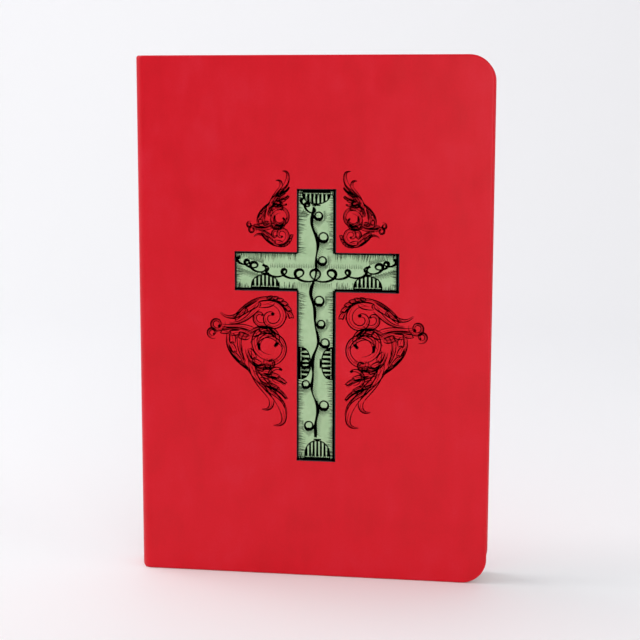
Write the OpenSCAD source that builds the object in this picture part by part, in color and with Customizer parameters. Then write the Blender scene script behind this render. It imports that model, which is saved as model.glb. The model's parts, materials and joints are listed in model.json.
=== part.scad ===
// Prayer book in a flexible leatherette case, standing on its tail edges.
// X runs from the spine to the fore-edge, Y from the front cover to the back
// cover, and Z up. The origin is the middle of the book's footprint.

/* [Book] */
// Height of the case, tail to head
book_h = 210; // [190:1:230]
// Width of the case, spine to fore-edge
book_w = 142.5; // [130:0.5:160]
// Radius of the case's two fore-edge corners
corner_r = 10; // [8:0.5:14]
// Outer radius of the case where it turns from a cover to the spine
spine_r = 4; // [3.9:0.05:4.1]
// How far the case stands out past the trimmed leaves
square_w = 3; // [2.5:0.25:4]

/* [Case] */
// Thickness of the leatherette skin
skin_t = 0.7; // [0.6:0.05:0.75]
// Thickness of the flexible card under the skin
card_t = 1.1; // [1.05:0.05:1.15]
// Thickness of the skin where it is turned in and pressed into the card
turn_in_t = 0.4; // [0.3:0.05:0.5]
// Width of the turned-in margin
turn_in_w = 14; // [10:1:16]
// Half the angle of the crease that lets a cover turn, in degrees
crease_half = 8; // [7:0.5:10]

/* [Leaves] */
// Number of sewn sections
section_count = 12; // [12:12:12]
// Thickness of one section of eight leaves
section_t = 1.0; // [0.95:0.01:1.0]
// Air left between two sections
section_gap = 0.03; // [0.02:0.01:0.05]
// Radius of a section's rounded fold
fold_r = 0.2; // [0.15:0.01:0.2]
// Length over which a section widens from its fold to its full thickness
fold_len = 5; // [5:0.5:6]
// Thickness of the two free endpapers
flyleaf_t = 0.15; // [0.12:0.01:0.15]
// Thickness of the pasted endpapers
pastedown_t = 0.2; // [0.15:0.01:0.2]

/* [Cover print] */
// Height of the printed cross
cross_h = 109.3; // [80:0.1:115]
// Span of the cross's arms
cross_span = 65.5; // [50:0.1:72]
// Width of the cross's beams
cross_beam = 15.2; // [10:0.1:18]
// Height of the cross's foot above the tail edge
cross_foot = 48.4; // [40:0.1:60]
// Height of the arms' middle above the cross's foot
cross_arm = 76.6; // [60:0.1:80]
// Thickness of the screen-printed ink
ink_t = 0.05; // [0.04:0.01:0.08]

/* [Hidden] */
$fn = 96;
eps = 0.01;

section_names = [for (k = [1 : section_count]) str("section_", k < 10 ? "0" : "", k)];

// The case's wall, and the depths of its layers from the outer face
wall_t = skin_t + card_t;
turn_in_top = wall_t - turn_in_t;

// Thickness of the leaves and of the whole book
block_t = section_count * section_t;
flyleaf_gap = 0.05;
paste_gap = 0.25;
cover_t = wall_t + pastedown_t;
book_t = block_t + 2 * (cover_t + paste_gap + flyleaf_t + flyleaf_gap);

// Fore-edge, spine face and the centre of the front spine corner, in plan
fore_x = book_w / 2;
spine_x = -book_w / 2;
arc_x = spine_x + spine_r;
arc_y = -book_t / 2 + spine_r;

// Layers between the spine card and the folds, counted inwards
hollow_t = 0.15;
lining_t = 0.2;
mull_t = 0.2;
glue_t = 0.4;
lining_x = spine_x + wall_t + hollow_t;
mull_x = lining_x + lining_t;
glue_x = mull_x + mull_t;
fold_x = glue_x + glue_t;
lining_w = 9.2;
mull_w = 10;
glue_w = 11.6;
lining_margin = 12;
mull_margin = 15;
glue_margin = square_w + 0.5;

// Leaves: the trimmed edge, its corner radius and the pivots near the folds
leaf_x = fore_x - square_w;
leaf_r = corner_r - square_w + 0.5;
pivot_x = fold_x + 0.25;
flyleaf_x = fold_x + 0.15;
pastedown_x = arc_x + 0.25;
flap_w = 18;
flap_t = 0.2;

// Sewing stations and thread
station_count = 5;
station_margin = 22;
thread_r = 0.13;
thread_len = 10.8;

// Head and tail bands
band_r = 0.7;
band_len = 10.4;
band_x = lining_x + 0.8;
band_gap = 0.1;

// Cover print
cross_x = spine_r / 2;

leatherette = [0.72, 0.06, 0.09];
paper = [0.93, 0.89, 0.80];
endpaper = [0.95, 0.93, 0.88];
card = [0.62, 0.60, 0.56];
cotton = [0.90, 0.88, 0.82];
glue = [0.85, 0.80, 0.62];
band_red = [0.65, 0.08, 0.10];
ink_green = [0.42, 0.55, 0.36];
ink_black = [0.03, 0.04, 0.06];

// ---- Helpers ----

// Stands a front-view outline up between two depths along Y
module slab(y0, y1) {
    translate([0, y1, 0]) rotate([90, 0, 0]) linear_extrude(height = y1 - y0) children();
}

// Front-view outline of a panel or leaf, rounded at its two fore-edge corners
module outline(x0, x1, inset, r) {
    translate([x0, inset]) square([x1 - r - x0, book_h - 2 * inset]);
    translate([x0, inset + r]) square([x1 - x0, book_h - 2 * (inset + r)]);
    for (z = [inset + r, book_h - inset - r]) translate([x1 - r, z]) circle(r = r);
}

// Plan of one layer of the round spine corner, t0 to t1 deep, from angle a0 to a1
module corner_plan(t0, t1, a0, a1) {
    reach = 2 * spine_r;
    translate([arc_x, arc_y]) difference() {
        intersection() {
            circle(r = spine_r - t0);
            polygon([[0, 0], reach * [cos(a0), sin(a0)], reach * [cos(a1), sin(a1)]]);
        }
        circle(r = spine_r - t1);
    }
}

// One layer of the front cover, t0 to t1 deep from the outer face
module cover_layer(t0, t1, inset) {
    intersection() {
        linear_extrude(height = book_h) {
            corner_plan(t0, t1, 225 + crease_half, 270);
            translate([arc_x, -book_t / 2 + t0]) square([book_w, t1 - t0]);
        }
        slab(-book_t, 0) outline(-book_w, fore_x - inset, inset, max(corner_r - inset, 2));
    }
}

// One layer of the spine, t0 to t1 deep from the outer face
module spine_layer(t0, t1, inset) {
    translate([0, 0, inset]) linear_extrude(height = book_h - 2 * inset) {
        translate([spine_x + t0, arc_y]) square([t1 - t0, -2 * arc_y]);
        for (side = [0, 1])
            mirror([0, side]) corner_plan(t0, t1, 180, 225 - crease_half);
    }
}

// A flat strip on the spine of the leaves
module spine_strip(x, t, w, margin) {
    translate([x, -w / 2, margin]) cube([t, w, book_h - 2 * margin]);
}

// ---- Case ----

// The skin wraps round the card's edges and is turned in over it
module front_skin() {
    color(leatherette) difference() {
        cover_layer(0, wall_t, 0);
        cover_layer(skin_t, turn_in_top, skin_t);
        cover_layer(turn_in_top, wall_t, turn_in_w);
    }
}

// The card is pressed down under the turned-in margin and under the mull flap
module front_card() {
    color(card) difference() {
        union() {
            cover_layer(skin_t, turn_in_top, skin_t);
            cover_layer(turn_in_top, wall_t, turn_in_w);
        }
        mull_flap_shape(eps);
    }
}

module mull_flap_shape(extra) {
    inner_y = -book_t / 2 + wall_t;
    translate([pastedown_x, inner_y - flap_t, mull_margin])
        cube([flap_w, flap_t + extra, book_h - 2 * mull_margin]);
}

module front_mull_flap() {
    color(cotton) mull_flap_shape(0);
}

module front_pastedown() {
    color(endpaper)
        slab(-book_t / 2 + wall_t, -book_t / 2 + cover_t)
            outline(pastedown_x, leaf_x, square_w, leaf_r);
}

module spine_skin() {
    color(leatherette) difference() {
        spine_layer(0, wall_t, 0);
        spine_layer(skin_t, turn_in_top, skin_t);
        spine_layer(turn_in_top, wall_t, turn_in_w);
    }
}

module spine_card() {
    color(card) {
        spine_layer(skin_t, turn_in_top, skin_t);
        spine_layer(turn_in_top, wall_t, turn_in_w);
    }
}

// ---- Spine of the leaves ----

module spine_lining() {
    color(card) spine_strip(lining_x, lining_t, lining_w, lining_margin);
}

module spine_mull() {
    color(cotton) spine_strip(mull_x, mull_t, mull_w, mull_margin);
}

// Height of a sewing station
function station_z(k) =
    station_margin + k * (book_h - 2 * station_margin) / (station_count - 1);

// The glue film, grooved where the thread crosses the folds
module spine_glue() {
    groove = 2 * thread_r + 0.02;
    color(glue) difference() {
        spine_strip(glue_x, glue_t, glue_w, glue_margin);
        for (k = [0 : station_count - 1])
            translate([fold_x - groove, -thread_len / 2 - eps, station_z(k) - groove / 2])
                cube([groove + eps, thread_len + 2 * eps, groove]);
    }
}

module sewing_threads() {
    color(cotton)
        for (k = [0 : station_count - 1])
            translate([fold_x - thread_r - eps, thread_len / 2, station_z(k)])
                rotate([90, 0, 0]) cylinder(r = thread_r, h = thread_len);
}

// A bead over the leaves' edge, sewn to a skirt that is glued below the lining
module band() {
    bead_z = book_h - square_w + band_gap + band_r;
    color(band_red) {
        translate([band_x, band_len / 2, bead_z])
            rotate([90, 0, 0]) cylinder(r = band_r, h = band_len);
        translate([lining_x, -lining_w / 2, book_h - lining_margin])
            cube([lining_t, lining_w, bead_z - book_h + lining_margin]);
    }
}

module head_band() {
    band();
}

module tail_band() {
    translate([0, 0, book_h]) mirror([0, 0, 1]) band();
}

// ---- Leaves ----

module front_flyleaf() {
    y0 = -block_t / 2 - flyleaf_gap - flyleaf_t;
    color(endpaper)
        slab(y0, y0 + flyleaf_t) outline(flyleaf_x, leaf_x, square_w, leaf_r);
}

// Middle of section k, counted from the front cover
function section_y(k) = -block_t / 2 + (k - 0.5) * section_t;

// Eight leaves folded together: a thin round fold that widens into the leaves
module section(k) {
    y = section_y(k);
    half = (section_t - section_gap) / 2;
    root_half = 0.9 * fold_r;
    leaf_x0 = pivot_x + fold_len;
    color(paper) {
        slab(y - half, y + half) outline(leaf_x0, leaf_x, square_w, leaf_r);
        translate([0, 0, square_w]) linear_extrude(height = book_h - 2 * square_w)
            polygon([[pivot_x, y - root_half], [leaf_x0, y - half],
                     [leaf_x0, y + half], [pivot_x, y + root_half]]);
        translate([pivot_x, y, square_w]) cylinder(r = fold_r, h = book_h - 2 * square_w);
    }
}

// ---- Cover print ----

module cross_outline() {
    translate([cross_x - cross_beam / 2, cross_foot]) square([cross_beam, cross_h]);
    translate([cross_x - cross_span / 2, cross_foot + cross_arm - cross_beam / 2])
        square([cross_span, cross_beam]);
}

module cross_print() {
    color(ink_green)
        slab(-book_t / 2 - ink_t, -book_t / 2) cross_outline();
}

// A C-shaped scroll: three quarters of a ring, open towards angle a
module c_scroll(r, w, a) {
    rotate(a) difference() {
        circle(r = r);
        circle(r = r - w);
        square([r + 1, r + 1]);
    }
}

// Scrollwork beside the cross on the fore-edge side: one small spray above the
// arm and one large spray below it, each a chain of C-shaped scrolls
module scroll_sprays() {
    upper = [[13.5, 91, 5.0, 20], [19.5, 88.5, 4.2, 250], [12, 100.5, 3.4, 120], [24, 93.5, 2.6, 40]];
    lower = [[16, 58, 7.5, 200], [25.5, 54, 6.5, 300], [15.5, 45.5, 6.0, 90],
             [19, 34, 5.0, 20], [37, 52.5, 3.0, 100], [13.5, 24, 4.2, 160]];
    for (s = concat(upper, lower))
        translate([s[0], cross_foot + s[1]]) c_scroll(s[2], s[2] * 0.3, s[3]);
}

module scroll_print() {
    color(ink_black)
        slab(-book_t / 2 - ink_t, -book_t / 2)
            translate([cross_x, 0])
                for (side = [0, 1]) mirror([side, 0]) scroll_sprays();
}

// Turns a front piece into its twin on the back
module to_back() {
    mirror([0, 1, 0]) children();
}

// ---- Nodes ----

spine_skin();
spine_card();
spine_lining();
spine_mull();
spine_glue();
sewing_threads();
head_band();
tail_band();
front_skin();
front_card();
front_mull_flap();
front_pastedown();
cross_print();
scroll_print();
front_flyleaf();
to_back() front_skin();  // back_skin
to_back() front_card();  // back_card
to_back() front_mull_flap();  // back_mull_flap
to_back() front_pastedown();  // back_pastedown
to_back() front_flyleaf();  // back_flyleaf
for (k = [1 : section_count])
    section(k);
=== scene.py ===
"""Visual model of a slim prayer book in a flexible leatherette case.

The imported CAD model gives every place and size. Each sub-assembly is a class that builds its
pieces and dresses them, and each finish is a small class that makes one material.
"""

import json
import logging
import math
import random
from collections.abc import Callable, Iterable
from dataclasses import dataclass
from enum import Enum

import bmesh
import bpy
from mathutils import Matrix, Vector

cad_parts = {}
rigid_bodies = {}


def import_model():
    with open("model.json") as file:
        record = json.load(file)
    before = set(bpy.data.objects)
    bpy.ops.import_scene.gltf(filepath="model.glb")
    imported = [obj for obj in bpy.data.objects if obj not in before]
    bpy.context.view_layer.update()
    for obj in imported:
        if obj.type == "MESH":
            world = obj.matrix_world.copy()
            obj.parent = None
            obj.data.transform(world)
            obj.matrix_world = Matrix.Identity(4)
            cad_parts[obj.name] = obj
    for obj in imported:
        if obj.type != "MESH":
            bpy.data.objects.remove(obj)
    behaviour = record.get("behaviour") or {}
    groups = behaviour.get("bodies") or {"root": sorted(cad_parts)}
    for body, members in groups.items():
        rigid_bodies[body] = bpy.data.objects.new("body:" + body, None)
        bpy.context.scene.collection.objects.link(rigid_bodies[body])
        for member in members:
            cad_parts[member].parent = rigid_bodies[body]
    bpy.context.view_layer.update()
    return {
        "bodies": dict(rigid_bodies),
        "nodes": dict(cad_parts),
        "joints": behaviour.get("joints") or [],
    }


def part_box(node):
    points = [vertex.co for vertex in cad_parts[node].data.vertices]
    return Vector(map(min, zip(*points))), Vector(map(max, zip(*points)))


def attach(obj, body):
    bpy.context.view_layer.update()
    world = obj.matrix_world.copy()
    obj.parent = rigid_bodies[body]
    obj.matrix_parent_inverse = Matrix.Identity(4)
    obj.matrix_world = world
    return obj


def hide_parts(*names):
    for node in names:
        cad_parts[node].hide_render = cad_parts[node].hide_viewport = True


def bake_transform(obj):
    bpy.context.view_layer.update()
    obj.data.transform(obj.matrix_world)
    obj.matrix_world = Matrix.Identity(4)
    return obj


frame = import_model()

MM = 0.001
HAIR = 1e-7

logging.basicConfig(level=logging.INFO, format="%(message)s")
log = logging.getLogger("prayer_book")


# ---------------------------------------------------------------------------
# Shared sizes and helpers
# ---------------------------------------------------------------------------


class Side(Enum):
    """The two halves of the book, each the mirror image of the other."""

    FRONT = -1
    BACK = 1

    @property
    def word(self) -> str:
        """The name that this half's nodes and pieces start with."""
        return self.name.lower()


@dataclass(frozen=True)
class Book:
    """Sizes and places that the pieces share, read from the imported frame."""

    tail: float
    head: float
    spine_x: float
    fore_x: float
    front_y: float
    hinge: Vector
    leaf_fold_x: float
    leaf_fore_x: float
    leaf_tail: float
    leaf_head: float
    spine_radius: float = 4.0 * MM
    wall: float = 1.8 * MM
    corner_radius: float = 10.0 * MM

    @classmethod
    def from_frame(cls) -> "Book":
        """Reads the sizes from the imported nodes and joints.

        Returns:
            The book's shared sizes.
        """
        skin_low, skin_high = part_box("front_skin")
        spine_low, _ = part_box("spine_skin")
        leaf_low, leaf_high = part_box("section_06")
        return cls(
            tail=skin_low.z,
            head=skin_high.z,
            spine_x=spine_low.x,
            fore_x=skin_high.x,
            front_y=skin_low.y,
            hinge=joint_place("front_cover_hinge"),
            leaf_fold_x=leaf_low.x,
            leaf_fore_x=leaf_high.x,
            leaf_tail=leaf_low.z,
            leaf_head=leaf_high.z,
        )

    @property
    def height(self) -> float:
        """Height of the case."""
        return self.head - self.tail

    @property
    def bend_x(self) -> float:
        """Where the flat cover starts to bend into the spine."""
        return self.spine_x + self.spine_radius

    @property
    def half_spine(self) -> float:
        """Half the width of the flat part of the spine."""
        return -self.front_y - self.spine_radius


def joint_place(name: str) -> Vector:
    """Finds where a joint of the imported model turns.

    Args:
        name: The joint's name.

    Returns:
        A point on the joint's axis.
    """
    return next(Vector(j["pos_m"]) for j in frame["joints"] if j["name"] == name)


def joint_limit(name: str) -> float:
    """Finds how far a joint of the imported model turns.

    Args:
        name: The joint's name.

    Returns:
        The joint's upper limit in degrees.
    """
    return next(j["range_deg"][1] for j in frame["joints"] if j["name"] == name)


def everything(bm: bmesh.types.BMesh) -> list:
    """All vertices, edges and faces of a bmesh, for the operators that take any geometry."""
    return bm.verts[:] + bm.edges[:] + bm.faces[:]


def in_plane(face: bmesh.types.BMFace, depth: float) -> bool:
    """True if a face lies flat at this height of the working plane."""
    return all(abs(v.co.z - depth) < HAIR for v in face.verts)


def cut_across(bm: bmesh.types.BMesh, places: Iterable[float], axis: Vector) -> None:
    """Cuts a mesh straight across at several places.

    Args:
        bm: The mesh to cut.
        places: Distances from the origin along the axis.
        axis: The direction that the cuts are square to.
    """
    for place in places:
        bmesh.ops.bisect_plane(
            bm, geom=everything(bm), dist=HAIR, plane_co=axis * place, plane_no=axis
        )


def rounded_sheet(length: float, height: float, radius: float, segments: int) -> bmesh.types.BMesh:
    """Makes a flat sheet with its two far corners rounded.

    Args:
        length: Size along X, from 0.
        height: Size along Y, from 0.
        radius: Radius of the two corners at the far end of X.
        segments: Faces round each corner.

    Returns:
        A bmesh with one face at Z = 0.
    """
    bm = bmesh.new()
    bmesh.ops.create_grid(bm, x_segments=1, y_segments=1, size=0.5)
    bmesh.ops.scale(bm, vec=(length, height, 1), verts=bm.verts)
    bmesh.ops.translate(bm, vec=(length / 2, height / 2, 0), verts=bm.verts)
    corners = [v for v in bm.verts if v.co.x > length / 2]
    bmesh.ops.bevel(
        bm, geom=corners, affect="VERTICES", offset=radius, segments=segments, profile=0.5, material=-1
    )
    return bm


def make_object(
    bm: bmesh.types.BMesh, name: str, material: bpy.types.Material, sharp: float = 35.0
) -> bpy.types.Object:
    """Turns a bmesh into a smooth-shaded object with one material.

    Args:
        bm: The mesh, which is freed.
        name: The piece's name.
        material: The piece's material.
        sharp: Edges that turn by more than this many degrees stay sharp.

    Returns:
        The new object, at the origin.
    """
    mesh = bpy.data.meshes.new(name)
    bm.to_mesh(mesh)
    bm.free()
    mesh.shade_smooth()
    mesh.set_sharp_from_angle(angle=math.radians(sharp))
    mesh.materials.append(material)
    obj = bpy.data.objects.new(name, mesh)
    bpy.context.scene.collection.objects.link(obj)
    log.info("%s: %d faces", name, len(mesh.polygons))
    return obj


def dress(node: str, material: bpy.types.Material) -> None:
    """Gives a CAD node that stays in view its material."""
    slots = frame["nodes"][node].data.materials
    slots.clear()
    slots.append(material)
    log.info("%s: dressed in %s", node, material.name)


# ---------------------------------------------------------------------------
# Shader maths
# ---------------------------------------------------------------------------


class Value:
    """A number that varies over a surface, usable in Python expressions."""

    def __init__(self, paint: "Paint", socket: bpy.types.NodeSocket) -> None:
        """Wraps a socket of a material that is being made."""
        self.paint = paint
        self.socket = socket

    def _math(self, operation: str, *others: "Value | float") -> "Value":
        """Adds one Math node with this value as its first input."""
        inputs = dict(enumerate((self, *others)))
        return self.paint.node("ShaderNodeMath", {"operation": operation}, inputs)

    def __add__(self, other: "Value | float") -> "Value":
        """The sum of two values."""
        return self._math("ADD", other)

    def __radd__(self, other: float) -> "Value":
        """The sum of a number and this value."""
        return self._math("ADD", other)

    def __sub__(self, other: "Value | float") -> "Value":
        """This value less another."""
        return self._math("SUBTRACT", other)

    def __rsub__(self, other: float) -> "Value":
        """A number less this value."""
        return (self * -1.0)._math("ADD", other)

    def __mul__(self, other: "Value | float") -> "Value":
        """The product of two values."""
        return self._math("MULTIPLY", other)

    def __rmul__(self, other: float) -> "Value":
        """The product of a number and this value."""
        return self._math("MULTIPLY", other)

    def __truediv__(self, other: "Value | float") -> "Value":
        """This value divided by another."""
        return self._math("DIVIDE", other)

    def __pow__(self, other: float) -> "Value":
        """This value to a power."""
        return self._math("POWER", other)

    def __abs__(self) -> "Value":
        """This value without its sign."""
        return self._math("ABSOLUTE")

    def least(self, other: "Value | float") -> "Value":
        """The smaller of two values."""
        return self._math("MINIMUM", other)

    def most(self, other: "Value | float") -> "Value":
        """The larger of two values."""
        return self._math("MAXIMUM", other)

    def sine(self) -> "Value":
        """The sine of this value in radians."""
        return self._math("SINE")

    def ramp(self, low: float, high: float, start: float = 0.0, end: float = 1.0) -> "Value":
        """Maps a range smoothly to another.

        Args:
            low: The value that gives start.
            high: The value that gives end.
            start: Result at low.
            end: Result at high.

        Returns:
            The mapped value, held at both ends.
        """
        return self.paint.node(
            "ShaderNodeMapRange",
            {"interpolation_type": "SMOOTHSTEP"},
            {"Value": self, "From Min": low, "From Max": high, "To Min": start, "To Max": end},
        )


Colour = tuple[float, float, float]


class Paint:
    """One node material in the making, on coordinates in millimetres."""

    def __init__(self, name: str) -> None:
        """Starts a material.

        Args:
            name: The material's name.
        """
        self.material = bpy.data.materials.new(name)
        self.material.use_nodes = True
        self.tree = self.material.node_tree
        self.tree.nodes.clear()
        place = self.node("ShaderNodeTexCoord", output="Object")
        self.place = self.node(
            "ShaderNodeVectorMath", {"operation": "SCALE"}, {0: place, "Scale": 1 / MM}
        )
        split = self.node("ShaderNodeSeparateXYZ", inputs={0: self.place}, output="X")
        node = split.socket.node
        self.x, self.y, self.z = (Value(self, node.outputs[axis]) for axis in "XYZ")

    def node(
        self,
        kind: str,
        settings: dict[str, object] | None = None,
        inputs: dict[str | int, object] | None = None,
        output: str | int = 0,
    ) -> Value:
        """Adds a node.

        Args:
            kind: The node's type.
            settings: Properties, which are set first.
            inputs: Values or links of its sockets.
            output: The socket that the result stands for.

        Returns:
            The node's output as a value.
        """
        node = self.tree.nodes.new(kind)
        for key, setting in (settings or {}).items():
            setattr(node, key, setting)
        for key, given in (inputs or {}).items():
            socket = node.inputs[key]
            if isinstance(given, Value):
                self.tree.links.new(given.socket, socket)
            elif isinstance(given, tuple) and len(given) == 3 and socket.type == "RGBA":
                socket.default_value = (*given, 1.0)
            else:
                socket.default_value = given
        return Value(self, node.outputs[output])

    def stretched(self, factors: tuple[float, float, float]) -> Value:
        """The coordinates with each axis multiplied by its own factor."""
        return self.node("ShaderNodeVectorMath", {"operation": "MULTIPLY"}, {0: self.place, 1: factors})

    def noise(
        self,
        per_mm: float,
        detail: float = 3.0,
        roughness: float = 0.5,
        distortion: float = 0.0,
        place: Value | None = None,
    ) -> Value:
        """Cloudy noise around 0.5.

        Args:
            per_mm: Features per millimetre.
            detail: Octaves.
            roughness: Weight of the finer octaves.
            distortion: How far the clouds are drawn out.
            place: Coordinates, or None for the plain ones.

        Returns:
            The noise.
        """
        return self.node(
            "ShaderNodeTexNoise",
            {"noise_dimensions": "3D"},
            {
                "Vector": place or self.place,
                "Scale": per_mm,
                "Detail": detail,
                "Roughness": roughness,
                "Distortion": distortion,
            },
        )

    def cells(self, per_mm: float, feature: str = "F1", place: Value | None = None) -> Value:
        """Distance in a field of cells.

        Args:
            per_mm: Cells per millimetre.
            feature: Which distance is measured.
            place: Coordinates, or None for the plain ones.

        Returns:
            The distance.
        """
        return self.node(
            "ShaderNodeTexVoronoi",
            {"feature": feature},
            {"Vector": place or self.place, "Scale": per_mm},
            "Distance",
        )

    def mix(self, factor: Value | float, first: "Value | Colour", second: "Value | Colour") -> Value:
        """Mixes two colours.

        Args:
            factor: 0 gives the first and 1 the second.
            first: A colour.
            second: Another colour.

        Returns:
            The mixed colour.
        """
        mixed = self.tree.nodes.new("ShaderNodeMix")
        mixed.data_type = "RGBA"
        for index, given in ((0, factor), (6, first), (7, second)):
            if isinstance(given, Value):
                self.tree.links.new(given.socket, mixed.inputs[index])
            else:
                mixed.inputs[index].default_value = given if index == 0 else (*given, 1.0)
        return Value(self, mixed.outputs[2])

    def bump(self, height: Value, distance: float, normal: Value | None = None) -> Value:
        """Turns a height into a bumped normal.

        Args:
            height: The height.
            distance: Millimetres that a height of 1 stands for.
            normal: An earlier bump to add to.

        Returns:
            The normal.
        """
        inputs: dict[str | int, object] = {"Height": height, "Distance": distance * MM, "Strength": 1.0}
        if normal is not None:
            inputs["Normal"] = normal
        return self.node("ShaderNodeBump", inputs=inputs, output="Normal")

    def finish(self, **sockets: object) -> bpy.types.Material:
        """Closes the material with a Principled shader.

        Args:
            sockets: Values or links of the shader's sockets, with underscores for spaces.

        Returns:
            The material.
        """
        named = {key.replace("_", " "): given for key, given in sockets.items()}
        shader = self.node("ShaderNodeBsdfPrincipled", inputs=named, output="BSDF")
        self.node_output(shader)
        return self.material

    def node_output(self, shader: Value) -> None:
        """Links the shader to the material's output."""
        out = self.tree.nodes.new("ShaderNodeOutputMaterial")
        self.tree.links.new(shader.socket, out.inputs["Surface"])


def srgb(red: int, green: int, blue: int) -> Colour:
    """Turns a screen colour of 0 to 255 into the linear colour that shaders use."""

    def linear(channel: int) -> float:
        """One channel, made linear."""
        part = channel / 255
        return part / 12.92 if part <= 0.04045 else ((part + 0.055) / 1.055) ** 2.4

    return linear(red), linear(green), linear(blue)


# ---------------------------------------------------------------------------
# Finishes
# ---------------------------------------------------------------------------


@dataclass(frozen=True)
class Leatherette:
    """Smooth coated leatherette: a cloudy red with a fine pressed grain and a soft sheen."""

    name: str = "red_leatherette"
    base: Colour = srgb(211, 4, 29)
    deep: Colour = srgb(204, 3, 25)
    light: Colour = srgb(213, 18, 40)

    def make(self) -> bpy.types.Material:
        """Builds the material.

        Returns:
            The leatherette.
        """
        paint = Paint(self.name)
        clouds = paint.noise(0.06, detail=3.0, roughness=0.5, distortion=0.3)
        drawn = paint.noise(0.11, detail=3.0, roughness=0.55, place=paint.stretched((1.3, 1.0, 0.45)))
        fine = paint.noise(1.3, detail=3.0, roughness=0.6)
        tone = clouds * 0.45 + drawn * 0.3 + fine * 0.25
        dark = paint.mix(tone.ramp(0.36, 0.54), self.deep, self.base)
        colour = paint.mix(tone.ramp(0.5, 0.66), dark, self.light)
        grain = paint.cells(1.7, "DISTANCE_TO_EDGE").ramp(0.0, 0.22)
        creases = paint.noise(2.6, detail=4.0, roughness=0.65)
        swell = paint.noise(0.05, detail=2.0)
        normal = paint.bump(swell, 0.35)
        normal = paint.bump(grain * 0.5 + creases, 0.012, normal)
        return paint.finish(
            Base_Color=colour,
            Roughness=0.35 + (fine - 0.5) * 0.16 + (clouds - 0.5) * 0.14,
            Specular_IOR_Level=0.23,
            Normal=normal,
        )


@dataclass(frozen=True)
class FibreBoard:
    """Card or lining paper with short pressed fibres."""

    name: str
    base: Colour
    fleck: Colour

    def make(self) -> bpy.types.Material:
        """Builds the material.

        Returns:
            The card or paper.
        """
        paint = Paint(self.name)
        fibres = paint.noise(2.2, detail=5.0, roughness=0.7, place=paint.stretched((1.0, 1.0, 0.3)))
        flecks = paint.cells(1.1).ramp(0.0, 0.28, 1.0, 0.0)
        colour = paint.mix(flecks * fibres, self.base, self.fleck)
        colour = paint.mix(fibres.ramp(0.35, 0.7, 0.0, 0.25), colour, self.fleck)
        return paint.finish(Base_Color=colour, Roughness=0.9, Normal=paint.bump(fibres, 0.03))


@dataclass(frozen=True)
class Paper:
    """Book paper: soft tooth, faint clouds of pulp and a slightly toned cut edge."""

    name: str
    base: Colour
    toned: Colour
    edge_inset: float = 1.2

    def make(self) -> bpy.types.Material:
        """Builds the material.

        Returns:
            The paper.
        """
        book = Book.from_frame()
        paint = Paint(self.name)
        pulp = paint.noise(0.35, detail=5.0, roughness=0.7)
        tooth = paint.noise(5.0, detail=2.0)
        fore = paint.x.ramp(book.leaf_fore_x / MM - self.edge_inset, book.leaf_fore_x / MM)
        head = paint.z.ramp(book.leaf_head / MM - self.edge_inset, book.leaf_head / MM)
        tail = paint.z.ramp(book.leaf_tail / MM + self.edge_inset, book.leaf_tail / MM)
        toning = fore.most(head).most(tail) * 0.6 + (pulp - 0.5) * 0.5
        return paint.finish(
            Base_Color=paint.mix(toning.most(0.0).least(1.0), self.base, self.toned),
            Roughness=0.82,
            Specular_IOR_Level=0.3,
            Normal=paint.bump(tooth + pulp, 0.008),
        )


@dataclass(frozen=True)
class PastedPaper:
    """Endpaper pasted over the card: the turned-in margin and the mull flap show as soft steps."""

    name: str
    base: Colour
    toned: Colour
    turn_in: float = 14.0
    step: float = 0.5

    def make(self) -> bpy.types.Material:
        """Builds the material.

        Returns:
            The pasted paper.
        """
        book = Book.from_frame()
        paint = Paint(self.name)
        pulp = paint.noise(0.3, detail=5.0, roughness=0.7)
        tooth = paint.noise(5.0, detail=2.0)
        fore = paint.x.ramp(book.fore_x / MM - self.turn_in - self.step, book.fore_x / MM - self.turn_in)
        head = paint.z.ramp(book.head / MM - self.turn_in - self.step, book.head / MM - self.turn_in)
        tail = paint.z.ramp(book.tail / MM + self.turn_in + self.step, book.tail / MM + self.turn_in)
        margin = fore.most(head).most(tail)
        normal = paint.bump(margin, 0.15)
        normal = paint.bump(tooth * 0.3 + pulp, 0.02, normal)
        colour = paint.mix((pulp * 0.5 + margin * 0.12).least(1.0), self.base, self.toned)
        return paint.finish(Base_Color=colour, Roughness=0.8, Specular_IOR_Level=0.3, Normal=normal)


@dataclass(frozen=True)
class Weave:
    """Plain woven cloth, such as mull."""

    name: str
    base: Colour
    shade: Colour
    threads_per_mm: float = 1.6

    def make(self) -> bpy.types.Material:
        """Builds the material.

        Returns:
            The cloth.
        """
        paint = Paint(self.name)
        turn = 2 * math.pi * self.threads_per_mm
        across = ((paint.x + paint.y) * turn).sine()
        along = (paint.z * turn).sine()
        cloth = (across * along) * 0.5 + 0.5
        fuzz = paint.noise(4.0, detail=3.0)
        colour = paint.mix((cloth * 0.7 + fuzz * 0.3).least(1.0), self.shade, self.base)
        return paint.finish(Base_Color=colour, Roughness=0.9, Normal=paint.bump(cloth + fuzz * 0.3, 0.05))


@dataclass(frozen=True)
class StripedCloth:
    """Head band cloth with sewn stripes of two colours across the bead."""

    name: str = "striped_band"
    first: Colour = srgb(176, 20, 32)
    second: Colour = srgb(236, 230, 214)
    pitch: float = 1.6

    def make(self) -> bpy.types.Material:
        """Builds the material.

        Returns:
            The striped cloth.
        """
        paint = Paint(self.name)
        wobble = paint.noise(1.2, detail=2.0) * 0.6
        stripe = ((paint.y + paint.x * 0.25 + wobble) * (2 * math.pi / self.pitch)).sine().ramp(-0.15, 0.15)
        thread = ((paint.y + paint.x * 0.25) * (2 * math.pi / 0.2)).sine()
        return paint.finish(
            Base_Color=paint.mix(stripe, self.first, self.second),
            Roughness=0.62,
            Sheen_Weight=0.3,
            Normal=paint.bump(thread, 0.03),
        )


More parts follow.
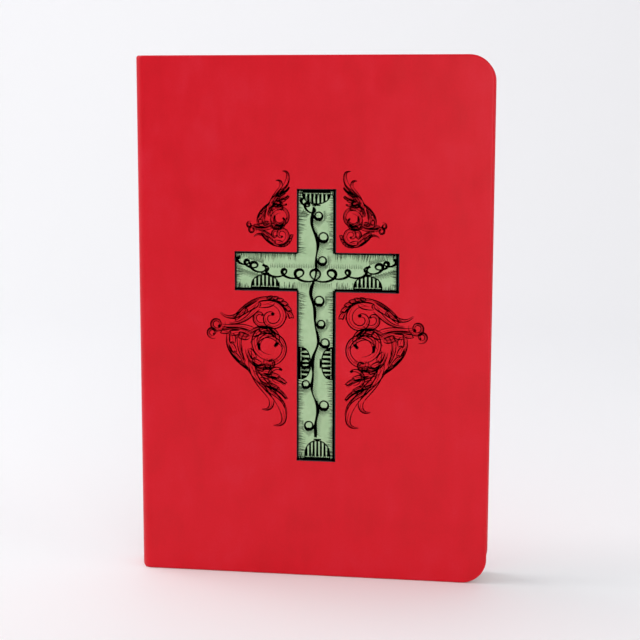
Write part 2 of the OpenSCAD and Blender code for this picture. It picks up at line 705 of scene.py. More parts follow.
@dataclass(frozen=True)
class DriedGlue:
    """Pale flexible glue with brush marks."""

    name: str = "binding_glue"
    base: Colour = srgb(226, 214, 176)
    thick: Colour = srgb(196, 176, 122)

    def make(self) -> bpy.types.Material:
        """Builds the material.

        Returns:
            The glue.
        """
        paint = Paint(self.name)
        marks = paint.noise(0.9, detail=4.0, roughness=0.6, place=paint.stretched((1.0, 2.4, 0.2)))
        return paint.finish(
            Base_Color=paint.mix(marks.ramp(0.35, 0.65), self.base, self.thick),
            Roughness=0.3 + marks * 0.25,
            Normal=paint.bump(marks, 0.08),
        )


@dataclass(frozen=True)
class WaxedThread:
    """Sewing thread with a visible twist."""

    name: str = "waxed_thread"
    base: Colour = srgb(240, 234, 218)
    shade: Colour = srgb(188, 178, 150)

    def make(self) -> bpy.types.Material:
        """Builds the material.

        Returns:
            The thread.
        """
        paint = Paint(self.name)
        twist = ((paint.y + paint.z * 1.5) * (2 * math.pi / 0.35)).sine() * 0.5 + 0.5
        return paint.finish(
            Base_Color=paint.mix(twist, self.shade, self.base),
            Roughness=0.55,
            Normal=paint.bump(twist, 0.04),
        )


@dataclass(frozen=True)
class SageInk:
    """Matt sage-green ink with a faint cloudiness and darker rims."""

    reach: Callable[["Paint"], Value]
    name: str = "sage_ink"
    base: Colour = srgb(160, 190, 145)
    pale: Colour = srgb(172, 200, 156)
    rim: Colour = srgb(118, 142, 112)

    def make(self) -> bpy.types.Material:
        """Builds the material.

        Returns:
            The ink.
        """
        paint = Paint(self.name)
        clouds = paint.noise(0.22, detail=4.0, roughness=0.6)
        grain = paint.noise(3.0, detail=3.0, roughness=0.7)
        body = paint.mix(clouds.ramp(0.3, 0.7), self.base, self.pale)
        inward = self.reach(paint) + (clouds - 0.5) * 2.2 + (grain - 0.5) * 0.8
        colour = paint.mix(inward.ramp(0.1, 2.3, 0.55, 0.0), body, self.rim)
        colour = paint.mix(grain.ramp(0.5, 0.8, 0.0, 0.16), colour, self.rim)
        return paint.finish(
            Base_Color=colour,
            Roughness=0.55 + (grain - 0.5) * 0.2,
            Specular_IOR_Level=0.4,
            Normal=paint.bump(grain, 0.01),
        )


@dataclass(frozen=True)
class BlackInk:
    """Blue-black ink that lies a little unevenly on the grain."""

    name: str = "black_ink"
    base: Colour = srgb(16, 18, 24)
    thin: Colour = srgb(44, 40, 46)

    def make(self) -> bpy.types.Material:
        """Builds the material.

        Returns:
            The ink.
        """
        paint = Paint(self.name)
        lay = paint.noise(2.4, detail=4.0, roughness=0.7)
        return paint.finish(
            Base_Color=paint.mix(lay.ramp(0.48, 0.75), self.base, self.thin),
            Roughness=0.5 + (lay - 0.5) * 0.3,
            Specular_IOR_Level=0.4,
            Normal=paint.bump(lay, 0.012),
        )


@dataclass(frozen=True)
class StudioPaper:
    """The pale seamless paper that the book stands on."""

    name: str = "studio_paper"
    base: Colour = (0.93, 0.93, 0.945)

    def make(self) -> bpy.types.Material:
        """Builds the material.

        Returns:
            The paper.
        """
        paint = Paint(self.name)
        return paint.finish(Base_Color=(*self.base, 1.0), Roughness=0.6, Specular_IOR_Level=0.12)


@dataclass(frozen=True)
class Finishes:
    """Every material of the book, made once and shared by the pieces."""

    leatherette: bpy.types.Material
    card: bpy.types.Material
    kraft: bpy.types.Material
    mull: bpy.types.Material
    glue: bpy.types.Material
    thread: bpy.types.Material
    band: bpy.types.Material
    leaf: bpy.types.Material
    endpaper: bpy.types.Material
    pasted: bpy.types.Material
    black: bpy.types.Material

    @classmethod
    def make_all(cls) -> "Finishes":
        """Builds all the shared materials.

        Returns:
            The finishes.
        """
        return cls(
            leatherette=Leatherette().make(),
            card=FibreBoard("grey_card", srgb(168, 164, 155), srgb(120, 116, 108)).make(),
            kraft=FibreBoard("kraft_lining", srgb(176, 140, 98), srgb(134, 100, 66)).make(),
            mull=Weave("cotton_mull", srgb(238, 234, 220), srgb(176, 168, 146)).make(),
            glue=DriedGlue().make(),
            thread=WaxedThread().make(),
            band=StripedCloth().make(),
            leaf=Paper("leaf_paper", srgb(244, 238, 222), srgb(222, 208, 180)).make(),
            endpaper=Paper("endpaper", srgb(246, 243, 234), srgb(228, 220, 202)).make(),
            pasted=PastedPaper("pasted_endpaper", srgb(246, 243, 234), srgb(226, 219, 203)).make(),
            black=BlackInk().make(),
        )


# ---------------------------------------------------------------------------
# Case
# ---------------------------------------------------------------------------


@dataclass(frozen=True)
class CaseHalf:
    """Half of the leatherette: one cover, its turned-in margins and half of the spine.

    The sheet is worked flat, with X along the case from the middle of the spine, Y up the case
    and Z into the wall, and is then wrapped round the corner of the spine.
    """

    book: Book
    side: Side
    skin: float = 0.4 * MM
    roll: float = 0.85 * MM
    roll_segments: int = 5
    turn_in: float = 14.0 * MM
    support: float = 0.5 * MM
    corner_segments: int = 14
    bend_cuts: int = 44
    blend_reach: float = 0.7 * MM
    pinch_flat: float = 0.15 * MM
    pinch_reach: float = 0.7 * MM
    pinch_left: float = 0.2
    tail_round: float = 2.0 * MM
    head_round: float = 0.7 * MM
    round_fade: float = 7.0 * MM

    @property
    def bend(self) -> float:
        """Length of the outer surface round the spine corner."""
        return self.book.spine_radius * math.pi / 2

    @property
    def length(self) -> float:
        """Length of the flat sheet, from the middle of the spine to the fore-edge."""
        return self.book.half_spine + self.bend + self.book.fore_x - self.book.bend_x

    def build(self, finishes: Finishes) -> bpy.types.Object:
        """Builds the half.

        Args:
            finishes: The book's materials.

        Returns:
            The leatherette piece.
        """
        bm = self.flat_slab()
        self.open_inside(bm)
        start = self.book.half_spine
        step = self.bend / self.bend_cuts
        cuts = [start - self.support, start + self.bend + self.support]
        cuts += [start + step * k for k in range(self.bend_cuts + 1)]
        cut_across(bm, cuts, Vector((1, 0, 0)))
        bmesh.ops.solidify(bm, geom=bm.faces[:], thickness=self.skin)
        self.wrap(bm)
        obj = make_object(bm, f"{self.side.word}_leatherette", finishes.leatherette)
        self.hang(obj)
        return obj

    def flat_slab(self) -> bmesh.types.BMesh:
        """Makes the flat slab with rolled edges on three sides.

        Returns:
            The slab, open at the middle of the spine.
        """
        book = self.book
        bm = rounded_sheet(self.length, book.height, book.corner_radius, self.corner_segments)
        made = bmesh.ops.extrude_face_region(bm, geom=bm.faces[:])
        lifted = [v for v in made["geom"] if isinstance(v, bmesh.types.BMVert)]
        bmesh.ops.translate(bm, vec=(0, 0, book.wall), verts=lifted)
        bmesh.ops.recalc_face_normals(bm, faces=bm.faces[:])
        rims = [
            e
            for e in bm.edges
            if abs(e.verts[0].co.z - e.verts[1].co.z) < HAIR and max(v.co.x for v in e.verts) > HAIR
        ]
        bmesh.ops.bevel(
            bm,
            geom=rims,
            affect="EDGES",
            offset=self.roll,
            segments=self.roll_segments,
            profile=0.5,
            material=-1,
        )
        ends = [f for f in bm.faces if all(v.co.x < HAIR for v in f.verts)]
        bmesh.ops.delete(bm, geom=ends, context="FACES")
        for depth in (0.0, book.wall):
            cap = [f for f in bm.faces if in_plane(f, depth)]
            bmesh.ops.inset_region(
                bm, faces=cap, thickness=self.support, use_even_offset=True, use_boundary=False
            )
        return bm

    def open_inside(self, bm: bmesh.types.BMesh) -> None:
        """Cuts the inner face away inside the turned-in margins.

        Args:
            bm: The slab.
        """
        low, high = self.turn_in, self.book.height - self.turn_in
        far = self.length - self.turn_in
        for place, axis in ((low, "Y"), (high, "Y"), (far, "X")):
            square = Vector((1, 0, 0)) if axis == "X" else Vector((0, 1, 0))
            faces = [f for f in bm.faces if in_plane(f, self.book.wall)]
            edges = {e for f in faces for e in f.edges}
            verts = {v for f in faces for v in f.verts}
            bmesh.ops.bisect_plane(
                bm,
                geom=[*verts, *edges, *faces],
                dist=HAIR,
                plane_co=square * place,
                plane_no=square,
            )
        hidden = []
        for face in bm.faces:
            centre = face.calc_center_median()
            if in_plane(face, self.book.wall) and low < centre.y < high and centre.x < far:
                hidden.append(face)
        bmesh.ops.delete(bm, geom=hidden, context="FACES")

    def wrap(self, bm: bmesh.types.BMesh) -> None:
        """Wraps the flat sheet round the spine and stands it up.

        Args:
            bm: The sheet.
        """
        book = self.book
        for vert in bm.verts:
            along, up, deep = vert.co
            past = along - book.half_spine
            deep = self.pinched(past, deep)
            if past <= 0:
                x, y = book.spine_x + deep, -along
            elif past <= self.bend:
                angle = math.pi + past / book.spine_radius
                radius = book.spine_radius - deep
                x = book.bend_x + radius * math.cos(angle)
                y = -book.half_spine + radius * math.sin(angle)
            else:
                x, y = book.bend_x + past - self.bend, book.front_y + deep
            up += self.drawn_in(x - book.spine_x, up, self.tail_round)
            up -= self.drawn_in(x - book.spine_x, book.height - up, self.head_round)
            vert.co = (x, y if self.side is Side.FRONT else -y, book.tail + up)
        bmesh.ops.recalc_face_normals(bm, faces=bm.faces[:])

    def pinched(self, past: float, deep: float) -> float:
        """Presses the turned-in skin down into the gap between the cards, thinning the sheet at the hinge.

        Args:
            past: Distance along the case from the start of the spine corner.
            deep: Depth below the outer surface.

        Returns:
            The depth after pressing.
        """
        off = abs(past - self.bend / 2) - self.pinch_flat
        fade = min(max(off / (self.pinch_reach - self.pinch_flat), 0.0), 1.0)
        fade = fade * fade * (3 - 2 * fade)
        kept = self.pinch_left + (1 - self.pinch_left) * fade
        return deep if deep <= self.skin else self.skin + (deep - self.skin) * kept

    def drawn_in(self, beyond: float, away: float, radius: float) -> float:
        """How far the soft spine is drawn in at its head or tail.

        Args:
            beyond: Distance from the spine's face.
            away: Distance from the end of the case.
            radius: Radius that the corner is drawn in to.

        Returns:
            The distance that a point moves towards the middle of the book.
        """
        inside = max(radius - beyond, 0.0)
        lift = radius - math.sqrt(radius**2 - inside**2)
        return lift * max(0.0, 1 - away / self.round_fade)

    def hang(self, obj: bpy.types.Object) -> None:
        """Bakes the piece's placement and hides the CAD nodes that it stands in for.

        Args:
            obj: The piece.
        """
        hinge = self.book.hinge.copy()
        along = Vector((math.sqrt(0.5), -math.sqrt(0.5), 0.0)) * self.blend_reach
        flip = Vector((1, -self.side.value, 1))
        start, end = hinge - along, hinge + along
        f"{self.side.word}_cover"
        start * flip
        end * flip
        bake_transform(obj)
        replaced = [f"{self.side.word}_skin"]
        if self.side is Side.FRONT:
            replaced.append("spine_skin")
        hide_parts(*replaced)


@dataclass(frozen=True)
class Case:
    """The whole case: both halves of the leatherette and the cards under it."""

    book: Book

    def build(self, finishes: Finishes) -> None:
        """Builds the leatherette and dresses the cards.

        Args:
            finishes: The book's materials.
        """
        for side in Side:
            CaseHalf(self.book, side).build(finishes)
            dress(f"{side.word}_card", finishes.card)
            dress(f"{side.word}_mull_flap", finishes.mull)
        dress("spine_card", finishes.card)


# ---------------------------------------------------------------------------
# Leaves
# ---------------------------------------------------------------------------


def share_for(turned: float) -> float:
    """Where a smooth blend reaches this share of its turn.

    Args:
        turned: Share of the turn, from 0 to 1.

    Returns:
        The place along the blend, from 0 to 1.
    """
    return 0.5 - math.sin(math.asin(1 - 2 * turned) / 3)


@dataclass(frozen=True)
class Section:
    """Four folded sheets nested in each other, which makes eight leaves."""

    book: Book
    number: int
    total: int = 12
    sheets: int = 4
    leaf: float = 0.085 * MM
    gap: float = 0.015 * MM
    pinch: float = 0.36
    taper: float = 5.0 * MM
    taper_cuts: int = 4
    corner: float = 7.5 * MM
    stray: float = 0.09 * MM

    @property
    def name(self) -> str:
        """The CAD node of this section, which its body is named after too."""
        return f"section_{self.number:02d}"

    @property
    def side(self) -> Side:
        """The cover that the section follows."""
        return Side.FRONT if self.number <= self.total // 2 else Side.BACK

    def build(self, finishes: Finishes, rng: random.Random) -> bpy.types.Object:
        """Builds the section; one without a body of its own rides on the spine.

        Args:
            finishes: The book's materials.
            rng: Source of the leaves' small differences.

        Returns:
            The section.
        """
        low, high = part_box(self.name)
        middle = (low.y + high.y) / 2
        pitch = (high.y - low.y) / (2 * self.sheets)
        bm = bmesh.new()
        for sheet in range(self.sheets):
            away = (self.sheets - sheet) * pitch - self.gap
            part = self.folded_sheet(away, rng)
            scratch = bpy.data.meshes.new("scratch")
            part.to_mesh(scratch)
            part.free()
            bm.from_mesh(scratch)
            bpy.data.meshes.remove(scratch)
        nose = low.x + self.pinch * pitch * self.sheets
        bmesh.ops.translate(bm, vec=(nose, middle, self.book.leaf_tail), verts=bm.verts)
        obj = make_object(bm, f"{self.name}_leaves", finishes.leaf)
        self.hang(obj, low.y, high.y, pitch)
        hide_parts(self.name)
        return obj

    def folded_sheet(self, away: float, rng: random.Random) -> bmesh.types.BMesh:
        """Folds one sheet into two leaves round the section's middle.

        Args:
            away: Distance of each leaf's outer face from the middle, past the pinched fold.
            rng: Source of the sheet's small differences.

        Returns:
            The folded sheet, with its fold at X = 0.
        """
        book = self.book
        length = book.leaf_fore_x - book.leaf_fold_x - rng.uniform(0, self.stray) - 0.3 * MM
        height = book.leaf_head - book.leaf_tail
        bm = rounded_sheet(length, height, self.corner, 6)
        cut_across(
            bm, [self.taper * (k + 1) / self.taper_cuts for k in range(self.taper_cuts)], Vector((1, 0, 0))
        )
        bmesh.ops.rotate(bm, matrix=Matrix.Rotation(math.pi / 2, 3, "X"), verts=bm.verts)
        lift = rng.uniform(-0.25, 0.25) * self.stray
        folded = self.leaf + (away - self.leaf) * self.pinch
        for vert in bm.verts:
            reach = min(vert.co.x / self.taper, 1.0)
            smooth = reach * reach * (3 - 2 * reach)
            vert.co.y = folded + (away - folded) * smooth
            vert.co.z = max(0.0, min(height, vert.co.z + lift))
        fold = [e for e in bm.edges if all(v.co.x < HAIR for v in e.verts)]
        ends = [v for e in fold for v in e.verts]
        bmesh.ops.spin(
            bm,
            geom=fold + list(set(ends)),
            cent=(0, 0, 0),
            axis=(0, 0, 1),
            angle=math.pi / 2,
            steps=3,
        )
        for vert in bm.verts:
            if abs(vert.co.y) < HAIR:
                vert.co.y = 0.0
        bmesh.ops.mirror(bm, geom=everything(bm), merge_dist=HAIR * 10, axis="Y")
        bmesh.ops.remove_doubles(bm, verts=bm.verts[:], dist=HAIR * 10)
        bmesh.ops.recalc_face_normals(bm, faces=bm.faces[:])
        bmesh.ops.solidify(bm, geom=bm.faces[:], thickness=self.leaf)
        return bm

    def hang(self, obj: bpy.types.Object, low: float, high: float, pitch: float) -> None:
        """Rides the section on the spine if it has no body of its own, and otherwise only bakes its
        placement.

        Args:
            obj: The section's leaves.
            low: The section's lowest Y.
            high: The section's highest Y.
            pitch: Distance from leaf to leaf.
        """
        if self.name not in frame["bodies"]:
            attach(obj, "spine")
            return
        own = joint_limit(f"{self.name}_turn")
        inner = self.number + (1 if self.side is Side.FRONT else -1)
        inner_name = f"section_{inner:02d}"
        after = joint_limit(f"{inner_name}_turn") if inner_name in frame["bodies"] else 0.0
        leaves = 2 * self.sheets
        least = (after + (own - after) / leaves) / own
        outer, inside = (low, high) if self.side is Side.FRONT else (high, low)
        inward = 1 if inside > outer else -1
        far = outer + inward * pitch / 2
        near = inside - inward * pitch / 2
        root = far - (far - near) / (1 - share_for(least))
        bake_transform(obj)


@dataclass(frozen=True)
class Endpapers:
    """One endpaper: pasted half, free half and the joint between them."""

    book: Book
    side: Side
    thickness: float = 0.14 * MM
    overlap: float = 1.2 * MM
    mouth: float = 1.75 * MM
    pleat_depth: float = 0.92 * MM
    pleat_half: float = 0.15 * MM
    pleat_steps: int = 24
    reach: float = 0.11 * MM
    root_gap: float = 0.15 * MM
    root_bend: float = 0.8 * MM
    root_cuts: int = 12
    corner: float = 7.5 * MM

    @property
    def flip(self) -> Vector:
        """Scale that takes a shape made at the front cover to this side."""
        return Vector((1, -self.side.value, 1))

    def build(self, finishes: Finishes) -> None:
        """Dresses the pasted half and builds the free half and the joint.

        Args:
            finishes: The book's materials.
        """
        dress(f"{self.side.word}_pastedown", finishes.pasted)
        self.flyleaf(finishes)
        self.joint(finishes)

    def flyleaf(self, finishes: Finishes) -> bpy.types.Object:
        """Builds the free half and hides the CAD node that it stands in for.

        Args:
            finishes: The book's materials.

        Returns:
            The leaf.
        """
        low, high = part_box("front_flyleaf")
        root = low.x + self.root_gap
        bm = rounded_sheet(high.x - root, high.z - low.z, self.corner, 8)
        step = self.root_bend / self.root_cuts
        cut_across(bm, [step * (k + 1) for k in range(self.root_cuts)], Vector((1, 0, 0)))
        bmesh.ops.rotate(bm, matrix=Matrix.Rotation(math.pi / 2, 3, "X"), verts=bm.verts)
        bmesh.ops.solidify(bm, geom=bm.faces[:], thickness=high.y - low.y)
        nearest = min(v.co.y for v in bm.verts)
        bmesh.ops.translate(bm, vec=(root, low.y - nearest, low.z), verts=bm.verts)
        bmesh.ops.scale(bm, vec=self.flip, verts=bm.verts)
        bmesh.ops.recalc_face_normals(bm, faces=bm.faces[:])
        obj = make_object(bm, f"{self.side.word}_free_endpaper", finishes.endpaper)
        start, end = Vector((root, 0, 0)), Vector((root + self.root_bend, 0, 0))
        node = f"{self.side.word}_flyleaf"
        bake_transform(obj)
        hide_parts(node)
        return obj

    def pleat(self) -> list[Vector]:
        """Walks along the joint: into the gap between the cards, out again and over the cover's card.

        Returns:
            The places along the strip, at the front cover.
        """
        hinge = Vector((self.book.hinge.x, self.book.hinge.y, 0))
        out = Vector((1, 1, 0)).normalized()
        over = Vector((1, -1, 0)).normalized() * self.pleat_half
        path = []
        for k in range(3):
            depth = self.mouth + (self.pleat_depth - self.mouth) * k / 3
            path.append(hinge + out * depth - over)
        for k in range(self.pleat_steps + 1):
            angle = math.pi * k / self.pleat_steps
            depth = self.pleat_depth - self.pleat_half * math.sin(angle)
            path.append(hinge + out * depth - over * math.cos(angle))
        paste_low, paste_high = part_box("front_pastedown")
        fly_low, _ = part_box("front_flyleaf")
        lip = hinge + out * self.mouth + over
        sag = Vector((fly_low.x, fly_low.y - self.thickness, 0))
        edge = Vector((paste_low.x + self.overlap, paste_high.y + self.thickness / 2, 0))
        for k in range(9):
            t = k / 8
            path.append(lip * (1 - t) ** 2 + sag * (2 * t * (1 - t)) + edge * t**2)
        return path

    def joint(self, finishes: Finishes) -> bpy.types.Object:
        """Builds the strip of endpaper that crosses the hinge in a pleat.

        Args:
            finishes: The book's materials.

        Returns:
            The strip.
        """
        low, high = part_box("front_pastedown")
        path = self.pleat()
        bm = bmesh.new()
        foot = bm.verts.new(path[0])
        for place in path[1:]:
            foot = bmesh.ops.extrude_vert_indiv(bm, verts=[foot])["verts"][0]
            foot.co = place
        made = bmesh.ops.extrude_edge_only(bm, edges=bm.edges[:])
        lifted = [v for v in made["geom"] if isinstance(v, bmesh.types.BMVert)]
        bmesh.ops.translate(bm, vec=(0, 0, high.z - low.z), verts=lifted)
        bmesh.ops.translate(bm, vec=(0, 0, low.z), verts=bm.verts)
        bmesh.ops.recalc_face_normals(bm, faces=bm.faces[:])
        bmesh.ops.solidify(bm, geom=bm.faces[:], thickness=-self.thickness)
        bmesh.ops.scale(bm, vec=self.flip, verts=bm.verts)
        bmesh.ops.recalc_face_normals(bm, faces=bm.faces[:])
        obj = make_object(bm, f"{self.side.word}_endpaper_joint", finishes.endpaper)
        over = Vector((1, -1, 0)).normalized() * self.reach
        start, end = self.book.hinge - over, self.book.hinge + over
        f"{self.side.word}_cover"
        start * self.flip
        end * self.flip
        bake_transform(obj)
        return obj


@dataclass(frozen=True)
class TextBlock:
    """The sewn sections and both endpapers."""

    book: Book
    sections: int = 12
    seed: int = 12

    def build(self, finishes: Finishes) -> None:
        """Builds all the leaves.

        Args:
            finishes: The book's materials.
        """
        rng = random.Random(self.seed)
        for number in range(1, self.sections + 1):
            Section(self.book, number).build(finishes, rng)
        for side in Side:
            Endpapers(self.book, side).build(finishes)


# ---------------------------------------------------------------------------
# Spine of the leaves
# ---------------------------------------------------------------------------


class End(Enum):
    """The two ends of the book."""

    HEAD = 1
    TAIL = -1


@dataclass(frozen=True)
class Band:
    """A sewn bead over the ends of the leaves, with its skirt glued behind them."""

    book: Book
    end: End
    stitch: float = 0.2 * MM
    swell: float = 0.08
    sides: int = 14
    skirt: float = 0.16 * MM

    def build(self, finishes: Finishes) -> bpy.types.Object:
        """Builds the band.

        Args:
            finishes: The book's materials.

        Returns:
            The band.
        """
        node = "head_band" if self.end is End.HEAD else "tail_band"
        low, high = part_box(node)
        radius = (high.x - low.x - 0.1 * MM) / 2
        bead_z = high.z - radius if self.end is End.HEAD else low.z + radius
        bead_x = high.x - radius
        steps = round((high.y - low.y) / self.stitch)
        bm = bmesh.new()
        circle = bmesh.ops.create_circle(bm, segments=self.sides, radius=radius, cap_ends=True)
        bmesh.ops.rotate(bm, matrix=Matrix.Rotation(math.pi / 2, 3, "X"), verts=circle["verts"])
        bmesh.ops.translate(bm, vec=(bead_x, low.y, bead_z), verts=bm.verts)
        centre = Vector((bead_x, 0, bead_z))
        cap = bm.faces[:]
        for k in range(steps):
            made = bmesh.ops.extrude_face_region(bm, geom=cap)
            cap = [f for f in made["geom"] if isinstance(f, bmesh.types.BMFace)]
            ring = [v for f in cap for v in f.verts]
            bmesh.ops.translate(bm, vec=(0, (high.y - low.y) / steps, 0), verts=ring)
            size = 1 - self.swell if k % 2 == 0 else 1 / (1 - self.swell)
            bmesh.ops.scale(bm, vec=(size, 1, size), space=Matrix.Translation(-centre), verts=ring)
        skirt = bmesh.ops.create_cube(bm, size=1)["verts"]
        skirt_high = high.z - radius if self.end is End.HEAD else low.z + radius
        skirt_low = low.z if self.end is End.HEAD else high.z
        bmesh.ops.scale(
            bm, vec=(self.skirt, (high.y - low.y) * 0.86, abs(skirt_high - skirt_low)), verts=skirt
        )
        bmesh.ops.translate(
            bm, vec=(low.x + self.skirt / 2, 0, (skirt_high + skirt_low) / 2), verts=skirt
        )
        bmesh.ops.recalc_face_normals(bm, faces=bm.faces[:])
        obj = make_object(bm, f"{node}_sewn", finishes.band, sharp=50)
        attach(obj, "spine")
        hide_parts(node)
        return obj


@dataclass(frozen=True)
class SpineWorks:
    """What holds the leaves together at the spine."""

    book: Book

    def build(self, finishes: Finishes) -> None:
        """Dresses the glued layers and builds the two bands.

        Args:
            finishes: The book's materials.
        """
        dress("spine_lining", finishes.kraft)
        dress("spine_mull", finishes.mull)
        dress("spine_glue", finishes.glue)
        dress("sewing_threads", finishes.thread)
        for end in End:
            Band(self.book, end).build(finishes)


# ---------------------------------------------------------------------------
# Cover print
# ---------------------------------------------------------------------------

Place = tuple[float, float]
Width = Callable[[float], float]


def even(width: float) -> Width:
    """A stroke of one width."""
    return lambda t: width


def tapering(width: float, tip: float = 0.02) -> Width:
    """A stroke that swells in its middle and runs out at both ends."""
    return lambda t: tip + (width - tip) * math.sin(math.pi * min(max(t, 0.0), 1.0)) ** 0.6


def running_out(width: float, tip: float = 0.02) -> Width:
    """A stroke that starts full and runs out to a point."""
    return lambda t: tip + (width - tip) * (1 - t) ** 0.7


def bezier(points: tuple[Place, Place, Place, Place], steps: int) -> list[Vector]:
    """Walks along a cubic curve.

    Args:
        points: The curve's four control points, in millimetres.
        steps: Steps along the curve.

    Returns:
        The places along the curve.
    """
    a, b, c, d = (Vector(p) for p in points)
    places = []
    for k in range(steps + 1):
        t = k / steps
        s = 1 - t
        places.append(a * s**3 + b * (3 * s * s * t) + c * (3 * s * t * t) + d * t**3)
    return places


def volute(centre: Place, radii: Place, angles: Place, steps: int) -> list[Vector]:
    """Walks round a spiral.

    Args:
        centre: The spiral's centre, in millimetres.
        radii: First and last radius.
        angles: First and last angle, in degrees.
        steps: Steps round the spiral.

    Returns:
        The places round the spiral.
    """
    places = []
    for k in range(steps + 1):
        t = k / steps
        radius = radii[0] * (radii[1] / radii[0]) ** t
        angle = math.radians(angles[0] + (angles[1] - angles[0]) * t)
        places.append(Vector(centre) + Vector((math.cos(angle), math.sin(angle))) * radius)
    return places


class Pen:
    """Draws strokes of raised ink in the plane of the front cover."""

    def __init__(self, under: float, thickness: float, weight: float = 1.0) -> None:
        """Starts an empty drawing.

        Args:
            under: The Y of the surface that is drawn on.
            thickness: The ink's thickness.
            weight: Factor on the width of every stroke.
        """
        self.bm = bmesh.new()
        self.under = under
        self.thickness = thickness
        self.weight = weight
        self.scrap = bpy.data.meshes.new("one_stroke")

    def stroke(self, path: list[Vector], width: Width) -> None:
        """Draws one stroke by drawing a short line along a path.

        Args:
            path: Places in millimetres, X across and Y up the cover.
            width: Half the stroke's width in millimetres, from the share of its length.
        """
        ribbon = bmesh.new()
        nib = []
        last = len(path) - 1
        for k, place in enumerate(path):
            run = path[min(k + 1, last)] - path[max(k - 1, 0)]
            if run.length < HAIR:
                continue
            across = Vector((-run.y, run.x)).normalized() * width(k / last) * self.weight
            ends = (self.stand(place - across), self.stand(place + across))
            if not nib:
                nib = [ribbon.verts.new(end) for end in ends]
                ribbon.edges.new(nib)
                continue
            made = bmesh.ops.extrude_vert_indiv(ribbon, verts=nib)["verts"]
            for vert, end in zip(made, ends):
                vert.co = end
            ribbon.edges.new(made)
            nib = made
        bmesh.ops.contextual_create(ribbon, geom=ribbon.edges[:])
        ribbon.to_mesh(self.scrap)
        ribbon.free()
        self.bm.from_mesh(self.scrap)

    def stand(self, place: Vector) -> Vector:
        """Lifts a place in millimetres to the cover's plane."""
        return Vector((place.x * MM, self.under, place.y * MM))

    def done(self, name: str, material: bpy.types.Material) -> bpy.types.Object:
        """Gives the strokes their thickness and makes the piece.

        Args:
            name: The piece's name.
            material: The ink.

        Returns:
            The piece.
        """
        bpy.data.meshes.remove(self.scrap)
        for face in self.bm.faces:
            face.normal_update()
            if face.normal.y < 0:
                face.normal_flip()
        bmesh.ops.solidify(self.bm, geom=self.bm.faces[:], thickness=-self.thickness)
        return make_object(self.bm, name, material)


